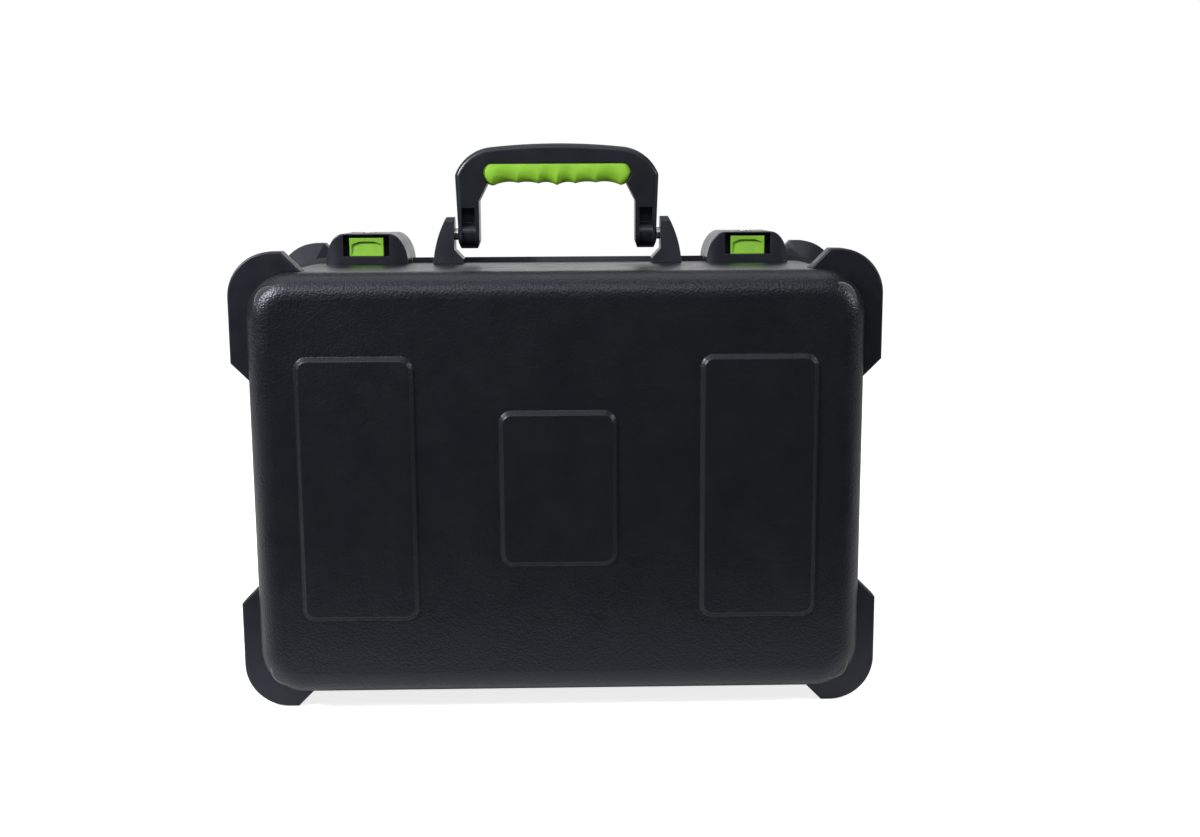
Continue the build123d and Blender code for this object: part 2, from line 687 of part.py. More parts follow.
def handle_outline():
    shoulder_z = PIVOT_Z + SHOULDER_HEIGHT
    crown_z = PIVOT_Z + HANDLE_HEIGHT
    flat_z = crown_z - HANDLE_CROWN
    bottom = PIVOT_Z - HANDLE_THICK / 2
    splay_z = PIVOT_Z + ARM_SPLAY_HEIGHT
    under_z = PIVOT_Z + GRIP_BOTTOM
    toe_z = bottom + ARM_TOE_HEIGHT
    haunch_x = GRIP_HALF - GRIP_HAUNCH
    draft_z = PIVOT_Z + PIVOT_BOSS_RADIUS + DRAFT_ABOVE_BOSS
    bulge_x = (SHOULDER_OUTER + HANDLE_SHOULDER_FLAT) / 2 + SHOULDER_BULGE_OUT
    bulge_z = (shoulder_z + flat_z) / 2 + SHOULDER_BULGE_UP
    right = [
        Line((ARM_INNER + ARM_TOE, bottom), (ARM_OUTER - ARM_TOE, bottom)),
        Line((ARM_OUTER - ARM_TOE, bottom), (ARM_OUTER, toe_z)),
        Line((ARM_OUTER, toe_z), (ARM_OUTER, draft_z)),
        Line((ARM_OUTER, draft_z), (SHOULDER_OUTER, shoulder_z)),
        ThreePointArc((SHOULDER_OUTER, shoulder_z), (bulge_x, bulge_z), (HANDLE_SHOULDER_FLAT, flat_z)),
        Line((haunch_x, under_z), (ARM_INNER, splay_z)),
        Line((ARM_INNER, splay_z), (ARM_INNER, toe_z)),
        Line((ARM_INNER, toe_z), (ARM_INNER + ARM_TOE, bottom)),
    ]
    left = [mirror(line, about=Plane.YZ) for line in right]
    crown = ThreePointArc((HANDLE_SHOULDER_FLAT, flat_z), (0, crown_z), (-HANDLE_SHOULDER_FLAT, flat_z))
    under = Line((-haunch_x, under_z), (haunch_x, under_z))
    outline = closed(*right, crown, under, *left)
    shoulders = [point for point in outline.vertices() if abs(abs(point.X) - SHOULDER_OUTER) < SAME]
    return fillet(shoulders, SHOULDER_RADIUS)


def handle_side_profile():
    low = Pos(PIVOT_Y, PIVOT_Z) * Circle(HANDLE_THICK / 2)
    reach = HANDLE_HEIGHT + PAST
    return low + Pos(PIVOT_Y, PIVOT_Z + reach / 2) * Rectangle(HANDLE_THICK, reach)


def grip_outline():
    top = PIVOT_Z + GRIP_TOP
    low = PIVOT_Z + GRIP_BOTTOM
    ridges = [(x, low - drop) for x, drop in zip(FINGER_RIDGES, RIDGE_DEPTHS)]
    lobe = (GRIP_LOBE_X, low - GRIP_LOBE_DROP)
    lobe_bulge = (GRIP_HALF - GRIP_LOBE_BULGE_IN, (top + low) / 2 - GRIP_LOBE_BULGE_DOWN)
    end = (GRIP_HALF, (top + low) / 2)
    corner_bulge = (GRIP_HALF - GRIP_CORNER_BULGE_IN, top - GRIP_CORNER_BULGE_DOWN)
    corner = (GRIP_HALF - GRIP_CORNER, top)
    right = [SagittaArc(*ends, sag) for ends, sag in zip(zip(ridges, ridges[1:] + [lobe]), RIDGE_SAGS)]
    right.append(ThreePointArc(lobe, lobe_bulge, end))
    right.append(ThreePointArc(end, corner_bulge, corner))
    left = [mirror(line, about=Plane.YZ) for line in right]
    return closed(*right, *left, Line(corner, (-corner[0], top)))


def grip_block(half):
    return along_y(grip_outline(), PIVOT_Y - half, PIVOT_Y + half)


def grip_core():
    half = HANDLE_THICK / 2 - GRIP_WALL - GRIP_INSET
    top = PIVOT_Z + GRIP_TOP
    reach = GRIP_HALF + PAST
    return block((-reach, reach), (PIVOT_Y - half, PIVOT_Y + half), (top - GRIP_CORE_DROP, top + PAST))


def handle_outer_edges(solid):
    edges = []
    for edge in solid.edges().filter_by(Plane.XZ):
        middle = edge.center()
        on_arm = abs(middle.X) > ARM_OUTER - SAME and middle.Z > PIVOT_Z
        if on_arm or middle.Z > PIVOT_Z + SHOULDER_HEIGHT:
            edges.append(edge)
    return edges


def arm_pockets(side):
    middle = (ARM_INNER + ARM_OUTER) / 2
    x = sorted((side * (middle - POCKET_WIDTH / 2), side * (middle + POCKET_WIDTH / 2)))
    z = (PIVOT_Z - HANDLE_THICK, PIVOT_Z + POCKET_LOW + POCKET_HEIGHT)
    web = HANDLE_THICK / 2 - POCKET_DEPTH
    pockets = block(x, (PIVOT_Y - HANDLE_THICK, PIVOT_Y + HANDLE_THICK), z)
    pockets -= block(x, (PIVOT_Y - web, PIVOT_Y + web), z)
    return pockets - rod_x(KNUCKLE_SEEN_RADIUS, x[0], x[1], PIVOT_Y, PIVOT_Z)


def arm_bore(side):
    start, end = sorted((side * (ARM_INNER + PIN_END_WALL - SLIDE_CLEARANCE), side * SHOULDER_OUTER))
    return rod_x(PIVOT_PIN_RADIUS + RUNNING_FIT, start, end, PIVOT_Y, PIVOT_Z)


def handle_frame():
    half = HANDLE_THICK / 2
    solid = along_y(handle_outline(), PIVOT_Y - half, PIVOT_Y + half)
    solid = fillet(handle_outer_edges(solid), HANDLE_ROUNDING)
    solid &= along_x(handle_side_profile(), -SHOULDER_OUTER - PAST, SHOULDER_OUTER + PAST)
    solid -= grip_block(half + PAST) - grip_core()
    for side in SIDES.values():
        solid -= arm_pockets(side)
        solid -= arm_bore(side)
    return solid


def handle_grip():
    return grip_block(HANDLE_THICK / 2 - GRIP_INSET) - grip_core()


# Latches, drawn for a latch centred on X = 0 and then moved to its side

def latch_outline():
    foot = LATCH_TOP_HALF + LATCH_END
    right = EllipticalCenterArc((LATCH_TOP_HALF, BODY_TOP), LATCH_END, LATCH_HEIGHT, 0, arc_size=90)
    left = mirror(right, about=Plane.YZ)
    top = Line((LATCH_TOP_HALF, LATCH_TOP), (-LATCH_TOP_HALF, LATCH_TOP))
    bottom = Line((-foot, BODY_TOP), (foot, BODY_TOP))
    return closed(right, top, left, bottom)


def latch_housing_body():
    foot = (LATCH_TOP_HALF + LATCH_END, HOUSING_FRONT + LATCH_BOW)
    cheek = (WINDOW_WIDTH / 2 + LATCH_CHEEK, HOUSING_FRONT)
    right = [
        SagittaArc(cheek, foot, -LATCH_BOW_SAG),
        Line(foot, (foot[0], BASE_EDGE)),
    ]
    left = [mirror(line, about=Plane.YZ) for line in right]
    across = [
        Line((-cheek[0], HOUSING_FRONT), cheek),
        Line((-foot[0], BASE_EDGE), (foot[0], BASE_EDGE)),
    ]
    solid = along_y(latch_outline(), HOUSING_FRONT, BASE_EDGE)
    solid &= along_z(closed(*right, *left, *across), BODY_TOP, LATCH_TOP)
    front = [edge for edge in solid.edges() if edge.center().Y < HOUSING_FRONT + LATCH_BOW]
    return fillet([edge for edge in front if edge.center().Z > BODY_TOP + LATCH_ROUNDING], LATCH_ROUNDING)


def latch_housing(side):
    solid = latch_housing_body()
    window_half = WINDOW_WIDTH / 2
    window_y = (HOUSING_FRONT - PAST, WINDOW_BACK)
    solid -= block((-window_half, window_half), window_y, (WINDOW_BOTTOM, WINDOW_TOP))
    notch_half = HASP_WIDTH / 2 + HASP_CLEARANCE
    notch_y = (HASP_FRONT - HASP_CLEARANCE, SEAM)
    solid -= block((-notch_half, notch_half), notch_y, (HASP_UNDER - HASP_CLEARANCE, LATCH_TOP + PAST))
    stem_x = STEM_WIDTH / 2 + SLIDE_CLEARANCE
    stem_z = STEM_HEIGHT / 2 + SLIDE_CLEARANCE
    stem_y = (WINDOW_BACK - PAST, STEM_END + BUTTON_TRAVEL + SLIDE_CLEARANCE)
    solid -= block((-stem_x, stem_x), stem_y, (STEM_MIDDLE - stem_z, STEM_MIDDLE + stem_z))
    solid -= along_y(Pos(0, STEM_MIDDLE) * Circle(SPRING_POCKET_RADIUS), STEM_END, SPRING_END)
    solid = Pos(side * LATCH_X, 0, 0) * solid
    return drilled(solid, latch_screw_planes(side, HOUSING_SCREW_Y), SCREW_RADIUS, WALL + SCREW_BITE)


def latch_button(side):
    half = BUTTON_WIDTH / 2
    solid = block((-half, half), (BUTTON_FRONT, BUTTON_BACK), (BUTTON_BOTTOM, BUTTON_TOP))
    low = BUTTON_BOTTOM - PAST
    ledge_z = BUTTON_TOP - BUTTON_LEDGE
    wedge = Polygon(
        (BUTTON_FRONT - PAST, low),
        (BUTTON_FRONT, low),
        (BUTTON_FRONT + BUTTON_SCOOP, ledge_z),
        (BUTTON_FRONT - PAST, ledge_z + BUTTON_LEDGE_TILT),
        align=None,
    )
    thumb_half = half - BUTTON_CHEEK
    spring_z = ledge_z - BUTTON_ARCH_DROP
    arch = closed(
        Line((-thumb_half, low), (thumb_half, low)),
        Line((thumb_half, low), (thumb_half, spring_z)),
        ThreePointArc((thumb_half, spring_z), (0, ledge_z + BUTTON_ARCH_RISE), (-thumb_half, spring_z)),
        Line((-thumb_half, spring_z), (-thumb_half, low)),
    )
    solid -= along_x(wedge, -half, half) & along_y(arch, BUTTON_FRONT - PAST, BUTTON_BACK)
    stem_half = STEM_WIDTH / 2
    stem_z = (STEM_MIDDLE - STEM_HEIGHT / 2, STEM_MIDDLE + STEM_HEIGHT / 2)
    solid += block((-stem_half, stem_half), (BUTTON_BACK, STEM_END), stem_z)
    return Pos(side * LATCH_X, 0, 0) * solid


def latch_spring(side):
    length = SPRING_LENGTH - 2 * SPRING_WIRE
    coil = Helix(pitch=length / SPRING_TURNS, height=length, radius=SPRING_RADIUS)
    start = Plane(coil @ 0, z_dir=coil % 0)
    wire = sweep(start * Circle(SPRING_WIRE), path=coil, is_frenet=True)
    place = Plane((side * LATCH_X, STEM_END + SPRING_WIRE, STEM_MIDDLE), z_dir=(0, 1, 0))
    return place * wire


def hasp_profile():
    knuckle = Pos(HASP_PIN_Y, HASP_PIN_Z) * Circle(HASP_KNUCKLE_RADIUS)
    blade = Polygon(
        (HASP_FRONT, HASP_UNDER),
        (SEAM + SEAM_GAP, HASP_UNDER),
        (HASP_PIN_Y - HASP_KNUCKLE_RADIUS, HASP_PIN_Z),
        (HASP_PIN_Y + HASP_KNUCKLE_RADIUS, HASP_PIN_Z),
        (HASP_PIN_Y + HASP_TAIL, LATCH_TOP),
        (HASP_FRONT, LATCH_TOP),
        align=None,
    )
    return knuckle + blade


def latch_hasp(side):
    half = HASP_WIDTH / 2
    solid = along_x(hasp_profile(), -half, half)
    solid -= rod_x(HASP_PIN_RADIUS + RUNNING_FIT, -half, half, HASP_PIN_Y, HASP_PIN_Z)
    bore = Pos(0, LOCK_Y) * Circle(LOCK_RADIUS + RUNNING_FIT)
    solid -= along_z(bore, LATCH_TOP - LOCK_DEPTH - RUNNING_FIT, LATCH_TOP + PAST)
    return Pos(side * LATCH_X, 0, 0) * solid


def lock_cylinder(side):
    solid = along_z(Pos(0, LOCK_Y) * Circle(LOCK_RADIUS), LATCH_TOP - LOCK_DEPTH, LATCH_TOP + LOCK_PROUD)
    solid = fillet(solid.edges().sort_by(Axis.Z)[-1], LOCK_PROUD / 2)
    slot = SlotOverall(KEYWAY_LENGTH, KEYWAY_WIDTH, rotation=90)
    top = LATCH_TOP + LOCK_PROUD
    solid -= along_z(Pos(0, LOCK_Y) * slot, top - KEYWAY_DEPTH, top)
    return Pos(side * LATCH_X, 0, 0) * solid


def latch_bracket(side):
    solid = along_y(latch_outline(), LID_EDGE, BRACKET_BACK)
    back = solid.faces().sort_by(Axis.Y)[-1].edges()
    solid = fillet([edge for edge in back if edge.center().Z > BODY_TOP + LATCH_ROUNDING], LATCH_ROUNDING)
    half = HASP_WIDTH / 2 + HASP_CLEARANCE
    floor_back = LID_EDGE + BRACKET_FLOOR_DEPTH
    back_y = BRACKET_BACK + PAST
    above = LATCH_TOP + PAST
    solid -= block((-half, half), (LID_EDGE - PAST, back_y), (BODY_TOP + BRACKET_FLOOR, above))
    solid -= block((-half, half), (floor_back, back_y), (BODY_TOP - PAST, above))
    solid -= rod_x(HASP_PIN_RADIUS, -HASP_PIN_HALF, HASP_PIN_HALF, HASP_PIN_Y, HASP_PIN_Z)
    solid = Pos(side * LATCH_X, 0, 0) * solid
    return drilled(solid, latch_screw_planes(side, BRACKET_SCREW_Y), SCREW_RADIUS, WALL + SCREW_BITE)


def latch_pin(side):
    x = side * LATCH_X
    return rod_x(HASP_PIN_RADIUS, x - HASP_PIN_HALF, x + HASP_PIN_HALF, HASP_PIN_Y, HASP_PIN_Z)


def latch_screws(y):
    planes = latch_screw_planes(-1, y) + latch_screw_planes(1, y)
    return [screw(plane, WALL + SCREW_BITE) for plane in planes]


# The whole case, one entry for each node

def build():
    nodes = {
        "base_shell": base_shell(),
        "base_rim": base_rim(),
        "base_foam_floor": foam_pad(BASE_FACE, FLOOR_PAD),
        "base_foam_block": base_foam_block(),
        "base_bumper_screws": bumper_screws(BASE_BUMPER_Y),
        "handle_mount_screws": handle_mount_screws(),
        "latch_housing_screws": latch_screws(HOUSING_SCREW_Y),
        "hinge_base_rivets": hinge_rivets(BASE_RIVET_Y),
        "lid_shell": lid_shell(),
        "lid_rim": lid_rim(),
        "lid_seal": lid_seal(),
        "lid_foam": foam_pad(LID_FACE, LID_FOAM),
        "lid_bumper_screws": bumper_screws(LID_BUMPER_Y),
        "latch_bracket_screws": latch_screws(BRACKET_SCREW_Y),
        "hinge_lid_rivets": hinge_rivets(LID_RIVET_Y),
        "handle_frame": handle_frame(),
        "handle_grip": handle_grip(),
    }
    for name, side in SIDES.items():
        for height, level in LEVELS.items():
            nodes[f"base_bumper_{height}_{name}"] = bumper(side, level, True)
            nodes[f"lid_bumper_{height}_{name}"] = bumper(side, level, False)
        nodes[f"hinge_base_leaf_{name}"] = hinge_leaf(side, True)
        nodes[f"hinge_lid_leaf_{name}"] = hinge_leaf(side, False)
        nodes[f"hinge_pin_{name}"] = hinge_pin(side)
        nodes[f"handle_mount_{name}"] = handle_mount(side)
        nodes[f"handle_backplate_{name}"] = handle_backplate(side)
        nodes[f"handle_pivot_pin_{name}"] = handle_pivot_pin(side)
        nodes[f"latch_housing_{name}"] = latch_housing(side)
        nodes[f"latch_button_{name}"] = latch_button(side)
        nodes[f"latch_spring_{name}"] = latch_spring(side)
        nodes[f"latch_bracket_{name}"] = latch_bracket(side)
        nodes[f"latch_hasp_{name}"] = latch_hasp(side)
        nodes[f"latch_pin_{name}"] = latch_pin(side)
        nodes[f"lock_cylinder_{name}"] = lock_cylinder(side)
    return nodes


def save(nodes):
    os.makedirs("parts", exist_ok=True)
    for name, shape in nodes.items():
        solids = shape if isinstance(shape, list) else [shape]
        whole = Compound(children=[solid for item in solids for solid in item.solids()])
        export_step(whole, f"parts/{name}.step")


save(build())
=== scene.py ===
import json
import math

import bmesh
import bpy
from mathutils import Matrix, Vector, noise


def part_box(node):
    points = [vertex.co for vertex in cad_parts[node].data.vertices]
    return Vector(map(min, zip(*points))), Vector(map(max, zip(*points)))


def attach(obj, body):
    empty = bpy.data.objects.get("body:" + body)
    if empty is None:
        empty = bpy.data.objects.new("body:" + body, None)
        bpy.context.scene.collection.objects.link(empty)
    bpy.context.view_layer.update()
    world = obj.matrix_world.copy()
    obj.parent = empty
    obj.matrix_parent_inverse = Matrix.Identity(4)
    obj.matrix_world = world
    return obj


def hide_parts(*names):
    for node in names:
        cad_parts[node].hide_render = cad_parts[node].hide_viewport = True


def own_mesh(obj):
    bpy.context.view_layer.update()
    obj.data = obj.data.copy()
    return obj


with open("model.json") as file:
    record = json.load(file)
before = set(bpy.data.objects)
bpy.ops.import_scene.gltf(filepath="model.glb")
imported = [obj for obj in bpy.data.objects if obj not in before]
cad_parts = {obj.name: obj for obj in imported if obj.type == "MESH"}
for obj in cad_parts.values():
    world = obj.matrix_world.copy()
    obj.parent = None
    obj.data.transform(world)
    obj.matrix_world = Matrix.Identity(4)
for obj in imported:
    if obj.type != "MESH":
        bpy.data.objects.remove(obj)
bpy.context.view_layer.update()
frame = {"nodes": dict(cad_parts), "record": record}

NODES = frame["nodes"]
SIDES = ("left", "right")
MM = 0.001

# Camera, fitted to the photograph's edges

CAMERA_PLACE = (0.0103, -1.0536, 0.3681)
CAMERA_YAW = math.radians(1.169)
CAMERA_PITCH = math.radians(9.257)
CAMERA_ROLL = math.radians(-0.319)
CAMERA_LENS = 41.0
CAMERA_SENSOR = 36.0

# Colours, in linear light

SHELL_COLOUR = (0.0055, 0.0058, 0.0088)
BUMPER_COLOUR = (0.0056, 0.0059, 0.0096)
TRIM_COLOUR = (0.0130, 0.0138, 0.0190)
HANDLE_COLOUR = (0.0092, 0.0098, 0.0140)
RIM_COLOUR = (0.045, 0.046, 0.056)
SEAL_COLOUR = (0.008, 0.008, 0.008)
BUTTON_COLOUR = (0.20, 0.43, 0.035)
GRIP_COLOUR = (0.21, 0.455, 0.020)
FOAM_COLOUR = (0.022, 0.022, 0.025)
STEEL_COLOUR = (0.52, 0.52, 0.53)
HINGE_COLOUR = (0.015, 0.015, 0.018)
LOCK_COLOUR = (0.62, 0.62, 0.63)
SOFT_EDGE_MM = 0.7
# Painted edge highlight: how wide it is and how much lighter it makes the colour
EDGE_HIGHLIGHT_WIDTH_MM = 1.2
EDGE_HIGHLIGHT_SHADE = 3.0
CELL_SMOOTHNESS = 0.6
NOISE_LOW = 0.3
NOISE_HIGH = 0.7
PEBBLE_SHARE = 0.88
PEBBLE_GLOSS = 0.06
PLASTIC_IOR = 1.49
COOL_GLOSS = (0.84, 0.86, 1.0, 1.0)


# Node helpers

class Nodes:
    """A material's node tree, with short calls to add nodes and join them."""

    def __init__(self, name):
        self.material = bpy.data.materials.new(name)
        self.material.use_nodes = True
        self.tree = self.material.node_tree
        self.shader = self.tree.nodes["Principled BSDF"]
        self.place = self.add("ShaderNodeTexCoord").outputs["Object"]

    def add(self, kind, **settings):
        node = self.tree.nodes.new(kind)
        for key, value in settings.items():
            setattr(node, key, value)
        return node

    def put(self, node, **values):
        """Sets or joins a node's inputs, named by their labels with spaces as underscores."""
        for key, value in values.items():
            socket = node.inputs[key.replace("_", " ")]
            if isinstance(value, bpy.types.NodeSocket):
                self.tree.links.new(value, socket)
            else:
                socket.default_value = value
        return node

    def noise(self, size_mm, detail=2.0, roughness=0.5):
        """A noise whose features are about this many millimetres wide."""
        node = self.add("ShaderNodeTexNoise", noise_type="FBM", normalize=True)
        self.put(node, Vector=self.place, Scale=1 / (size_mm * MM), Detail=detail, Roughness=roughness)
        return node.outputs["Fac"]

    def cells(self, size_mm, feature="SMOOTH_F1"):
        """Distance to the nearest of a scatter of points, for pebbles and pores."""
        node = self.add("ShaderNodeTexVoronoi", feature=feature)
        self.put(node, Vector=self.place, Scale=1 / (size_mm * MM), Randomness=1.0)
        if feature == "SMOOTH_F1":
            node.inputs["Smoothness"].default_value = CELL_SMOOTHNESS
        return node.outputs["Distance"]

    def maths(self, operation, a, b=0.5, clamp=False):
        node = self.add("ShaderNodeMath", operation=operation, use_clamp=clamp)
        for socket, value in zip(node.inputs, (a, b)):
            if isinstance(value, bpy.types.NodeSocket):
                self.tree.links.new(value, socket)
            else:
                socket.default_value = value
        return node.outputs[0]

    def ramp(self, value, low, high, to_low=0.0, to_high=1.0):
        node = self.add("ShaderNodeMapRange", clamp=True)
        self.put(node, Value=value, From_Min=low, From_Max=high, To_Min=to_low, To_Max=to_high)
        return node.outputs["Result"]

    def spread(self, value, to_low=0.0, to_high=1.0):
        """A noise's middle range, drawn out between two values."""
        return self.ramp(value, NOISE_LOW, NOISE_HIGH, to_low, to_high)

    def mix_colour(self, share, first, second):
        node = self.add("ShaderNodeMix", data_type="RGBA")
        for socket, value in ((node.inputs[0], share), (node.inputs[6], first), (node.inputs[7], second)):
            if isinstance(value, bpy.types.NodeSocket):
                self.tree.links.new(value, socket)
            else:
                socket.default_value = value
        return node.outputs[2]

    def bump(self, height, distance_mm, strength=1.0, under=None):
        node = self.add("ShaderNodeBump")
        self.put(node, Height=height, Distance=distance_mm * MM, Strength=strength)
        if under is not None:
            self.tree.links.new(under, node.inputs["Normal"])
        return node.outputs["Normal"]

    def surface(self, **values):
        return self.put(self.shader, **values)


def shade(colour, factor):
    return tuple(min(1.0, part * factor) for part in colour) + (1.0,)


def tinted(nodes, share, colour, dark, light):
    """The colour, between a darker and a lighter shade of itself."""
    return nodes.mix_colour(share, shade(colour, dark), shade(colour, light))


def soft_edges(nodes):
    """A normal that turns softly over sharp edges, as a mould leaves them."""
    bevel = nodes.add("ShaderNodeBevel", samples=6)
    nodes.put(bevel, Radius=SOFT_EDGE_MM * MM)
    return bevel.outputs["Normal"]


def painted_edge_highlight(nodes, strength):
    """Painted highlight: where an outer edge is sharp, its corner is painted lighter in patches, from the
    bevelled normal.
    """
    bevel = nodes.add("ShaderNodeBevel", samples=4)
    nodes.put(bevel, Radius=EDGE_HIGHLIGHT_WIDTH_MM * MM)
    geometry = nodes.add("ShaderNodeNewGeometry")
    dot = nodes.add("ShaderNodeVectorMath", operation="DOT_PRODUCT")
    nodes.tree.links.new(bevel.outputs["Normal"], dot.inputs[0])
    nodes.tree.links.new(geometry.outputs["Normal"], dot.inputs[1])
    turned = nodes.maths("SUBTRACT", 1.0, dot.outputs["Value"], clamp=True)
    patchy = nodes.ramp(nodes.noise(3.0, 4.0, 0.65), 0.42, 0.68)
    edge_highlight = nodes.maths("MULTIPLY", turned, strength, clamp=True)
    return nodes.maths("MULTIPLY", edge_highlight, patchy, clamp=True)


def pebbled_plastic(name, colour, grain_mm, depth_mm, roughness):
    """Moulded polypropylene: a pebble grain over soft sink marks, with painted shade in the hollows between
    pebbles, and slightly blotched gloss.
    """
    nodes = Nodes(name)
    pebbles = nodes.ramp(nodes.cells(grain_mm), 0.1, 0.75, 1.0, 0.0)
    fine = nodes.noise(grain_mm * 0.4, 2.0)
    coarse = nodes.maths("MULTIPLY", pebbles, PEBBLE_SHARE)
    height = nodes.maths("ADD", coarse, nodes.maths("MULTIPLY", fine, 1 - PEBBLE_SHARE))
    broad = nodes.bump(nodes.noise(34.0, 2.0, 0.55), 0.35, 0.5)
    normal = nodes.bump(height, depth_mm, 1.0, broad)
    gloss = nodes.spread(nodes.noise(21.0, 4.0, 0.6), roughness - 0.04, roughness + 0.05)
    gloss = nodes.maths("SUBTRACT", gloss, nodes.maths("MULTIPLY", pebbles, PEBBLE_GLOSS))
    tone = tinted(nodes, nodes.spread(nodes.noise(55.0, 3.0)), colour, 0.9, 1.12)
    # Painted shade: the hollows between the pebbles are darker than their crowns
    tone = nodes.mix_colour(nodes.maths("MULTIPLY", pebbles, 0.5), shade(colour, 0.75), tone)
    nodes.surface(Base_Color=tone, Roughness=gloss, Normal=normal, IOR=PLASTIC_IOR, Specular_Tint=COOL_GLOSS)
    return nodes.material


def smooth_plastic(name, colour, roughness=0.4, grain_mm=0.35, depth_mm=0.012, edge_highlight=0.0):
    """Plainer moulded plastic: a spark-eroded matt skin with soft sink marks, and, if asked, a painted
    highlight on sharp edges.
    """
    nodes = Nodes(name)
    skin = nodes.noise(grain_mm, 3.0, 0.6)
    broad = nodes.bump(nodes.noise(18.0, 2.0), 0.15, 0.4, soft_edges(nodes))
    normal = nodes.bump(skin, depth_mm, 1.0, broad)
    gloss = nodes.spread(nodes.noise(12.0, 4.0, 0.6), roughness - 0.05, roughness + 0.06)
    tone = tinted(nodes, nodes.spread(nodes.noise(28.0, 3.0)), colour, 0.88, 1.12)
    if edge_highlight:
        # Painted highlight: sharp edges are made lighter, in patches
        tone = nodes.mix_colour(painted_edge_highlight(nodes, edge_highlight), tone, shade(colour, EDGE_HIGHLIGHT_SHADE))
    nodes.surface(Base_Color=tone, Roughness=gloss, Normal=normal, IOR=PLASTIC_IOR, Specular_Tint=COOL_GLOSS)
    return nodes.material


def coloured_plastic(name, colour, roughness, skin_mm, depth_mm):
    """Bright plastic or rubber that light sinks into a little."""
    nodes = Nodes(name)
    skin = nodes.noise(skin_mm, 3.0, 0.6)
    normal = nodes.bump(skin, depth_mm, 1.0, soft_edges(nodes))
    tone = tinted(nodes, nodes.spread(nodes.noise(9.0, 4.0, 0.6)), colour, 0.92, 1.06)
    gloss = nodes.spread(nodes.noise(6.0, 3.0), roughness - 0.04, roughness + 0.05)
    nodes.surface(Base_Color=tone, Roughness=gloss, Normal=normal, IOR=1.5, Specular_IOR_Level=0.5,
                  Subsurface_Weight=0.1, Subsurface_Radius=(0.5, 1.0, 0.2), Subsurface_Scale=1.2 * MM)
    return nodes.material


def metal(name, colour, roughness, metallic=1.0, stretch=(1.0, 1.0, 1.0), line_mm=0.4, depth_mm=0.006,
          gleam=0.5):
    """Rolled or brushed metal: fine lines drawn out along one direction, and uneven gloss."""
    nodes = Nodes(name)
    mapping = nodes.add("ShaderNodeMapping")
    nodes.put(mapping, Vector=nodes.place, Scale=stretch)
    nodes.place = mapping.outputs["Vector"]
    lines = nodes.noise(line_mm, 3.0, 0.6)
    normal = nodes.bump(lines, depth_mm, 0.8)
    gloss = nodes.spread(nodes.noise(4.0, 3.0), roughness - 0.06, roughness + 0.08)
    tone = tinted(nodes, nodes.spread(lines), colour, 0.86, 1.1)
    nodes.surface(Base_Color=tone, Roughness=gloss, Normal=normal, Metallic=metallic,
                  Specular_IOR_Level=gleam)
    return nodes.material


def foam_material(name, colour):
    """Open-cell foam: pores of two sizes that roughen the light, with painted shade darkening the larger
    pores and lightening the foam between them.
    """
    nodes = Nodes(name)
    pores = nodes.ramp(nodes.cells(1.1, "F1"), 0.15, 0.6)
    small = nodes.cells(0.5, "F1")
    height = nodes.maths("ADD", nodes.maths("MULTIPLY", pores, 0.7), nodes.maths("MULTIPLY", small, 0.4))
    normal = nodes.bump(height, 0.3, 0.9)
    # Painted shade: the larger pore hollows darker, the rims between them lighter
    tone = tinted(nodes, pores, colour, 0.55, 1.25)
    nodes.surface(Base_Color=tone, Roughness=0.95, Normal=normal, Specular_IOR_Level=0.25,
                  Sheen_Weight=0.35, Sheen_Roughness=0.6)
    return nodes.material


# The bumper, latch and handle plastics carry a painted highlight on their sharp edges
MATERIALS = {
    "shell_plastic": pebbled_plastic("shell_grain", SHELL_COLOUR, 1.5, 0.18, 0.40),
    "bumper_plastic": smooth_plastic("bumper_skin", BUMPER_COLOUR, 0.42, 0.8, 0.03, edge_highlight=2.0),
    "rim_aluminium": metal("rim_anodised", RIM_COLOUR, 0.55, 0.0, (0.15, 1.0, 1.0), gleam=0.15),
    "seal_rubber": smooth_plastic("seal_skin", SEAL_COLOUR, 0.7),
    "foam": foam_material("foam_cells", FOAM_COLOUR),
    "latch_plastic": smooth_plastic("latch_skin", TRIM_COLOUR, 0.36, 0.5, 0.02, edge_highlight=1.0),
    "button_green": coloured_plastic("button_skin", BUTTON_COLOUR, 0.34, 0.3, 0.006),
    "handle_plastic": smooth_plastic("handle_skin", HANDLE_COLOUR, 0.36, 0.5, 0.02, edge_highlight=1.0),
    "grip_green": coloured_plastic("grip_skin", GRIP_COLOUR, 0.5, 0.35, 0.02),
    "steel": metal("steel_plated", STEEL_COLOUR, 0.32),
    "hinge_metal": metal("hinge_painted", HINGE_COLOUR, 0.42, 0.0, line_mm=0.6, depth_mm=0.01),
    "lock_chrome": metal("lock_nickel", LOCK_COLOUR, 0.22, line_mm=0.25, depth_mm=0.003),
}


def dress(obj, slot):
    obj.data.materials.clear()
    obj.data.materials.append(MATERIALS[slot])


for subpart in frame["record"]["subparts"]:
    dress(NODES[subpart["node"]], subpart["material_slot"])


# Foam: the block with its drops, the pad under it and the egg-crate pad in the lid

